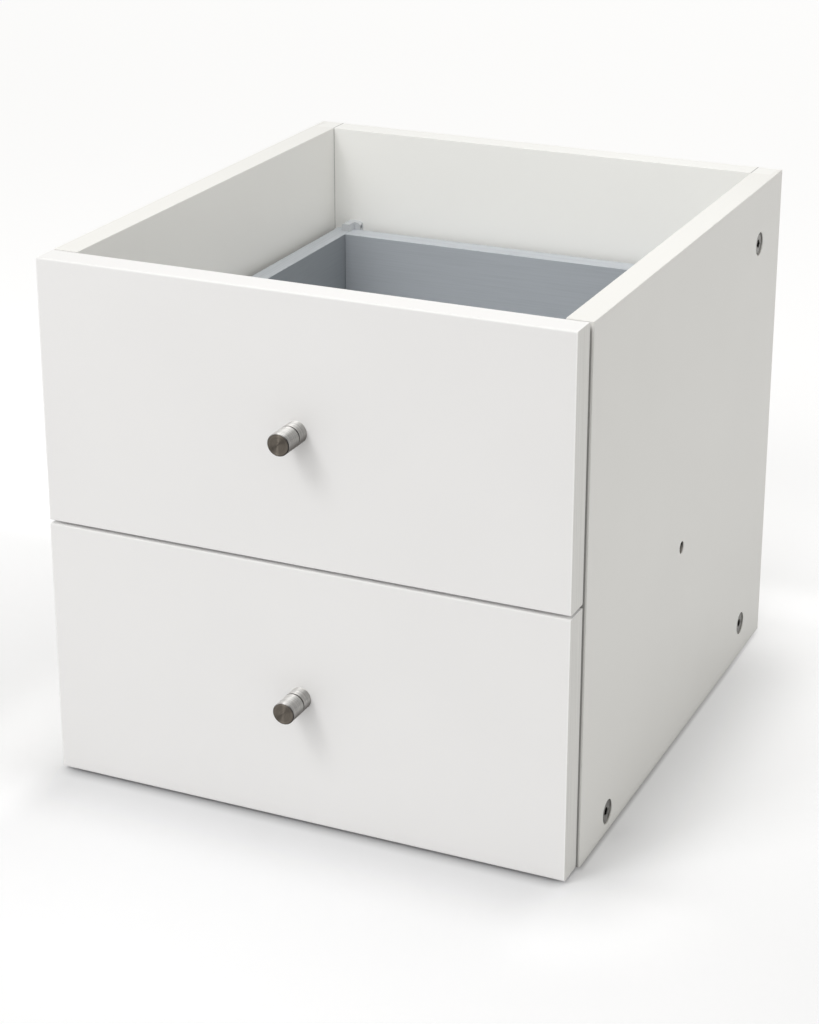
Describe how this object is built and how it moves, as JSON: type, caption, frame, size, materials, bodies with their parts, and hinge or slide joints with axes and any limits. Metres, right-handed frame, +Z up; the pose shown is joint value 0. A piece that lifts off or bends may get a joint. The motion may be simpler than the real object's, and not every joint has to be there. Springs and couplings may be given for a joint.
{
  "type": "shelf drawer insert",
  "caption": "Open-topped square insert for a shelf opening, with drawers one above the other on grooved runners and plain turned knobs.",
  "frame": {"origin": "middle of the base of the whole insert, knobs included", "axes": "+X to the right as the drawers are faced, +Y from the drawer fronts to the back, +Z up"},
  "size_m": [0.33, 0.392, 0.326],
  "materials": {
    "white_foil": "particle board with a smooth white foil, satin",
    "drawer_foil": "particle board with a pale grey foil, matt",
    "drawer_bottom": "thin fibreboard, printed pale grey, matt",
    "knob_steel": "turned and brushed",
    "zinc_steel": "zinc plated",
    "fitting_plastic": "moulded pale grey, fine texture",
    "beech_dowel": "fluted raw beech"
  },
  "bodies": {
    "frame": {"left_side_panel": "white_foil", "right_side_panel": "white_foil", "back_panel": "white_foil", "front_bottom_rail": "white_foil", "left_cam_locks": "zinc_steel", "left_cam_bolts": "zinc_steel", "right_cam_locks": "zinc_steel", "right_cam_bolts": "zinc_steel", "back_panel_dowels": "beech_dowel", "left_lower_runner": "fitting_plastic", "left_lower_runner_screws": "zinc_steel", "right_lower_runner": "fitting_plastic", "right_lower_runner_screws": "zinc_steel", "left_upper_runner": "fitting_plastic", "left_upper_runner_screws": "zinc_steel", "right_upper_runner": "fitting_plastic", "right_upper_runner_screws": "zinc_steel", "left_drawer_stops": "fitting_plastic", "right_drawer_stops": "fitting_plastic"},
    "lower_drawer": {"lower_drawer_front": "white_foil", "lower_drawer_left_side": "drawer_foil", "lower_drawer_right_side": "drawer_foil", "lower_drawer_back": "drawer_foil", "lower_drawer_bottom": "drawer_bottom", "lower_drawer_knob": "knob_steel", "lower_drawer_knob_screw": "zinc_steel", "lower_drawer_left_rear_clip": "fitting_plastic", "lower_drawer_right_rear_clip": "fitting_plastic", "lower_drawer_front_cams": "zinc_steel", "lower_drawer_front_cam_bolts": "zinc_steel", "lower_drawer_front_dowels": "beech_dowel", "lower_drawer_back_screws": "zinc_steel"},
    "upper_drawer": {"upper_drawer_front": "white_foil", "upper_drawer_left_side": "drawer_foil", "upper_drawer_right_side": "drawer_foil", "upper_drawer_back": "drawer_foil", "upper_drawer_bottom": "drawer_bottom", "upper_drawer_knob": "knob_steel", "upper_drawer_knob_screw": "zinc_steel", "upper_drawer_left_rear_clip": "fitting_plastic", "upper_drawer_right_rear_clip": "fitting_plastic", "upper_drawer_front_cams": "zinc_steel", "upper_drawer_front_cam_bolts": "zinc_steel", "upper_drawer_front_dowels": "beech_dowel", "upper_drawer_back_screws": "zinc_steel"}
  },
  "joints": [
    {"name": "lower_drawer_slide", "type": "slide", "parent": "frame", "child": "lower_drawer", "axis": [0, -1, 0], "range_m": [0, 0.25]},
    {"name": "upper_drawer_slide", "type": "slide", "parent": "frame", "child": "upper_drawer", "axis": [0, -1, 0], "range_m": [0, 0.25]}
  ]
}
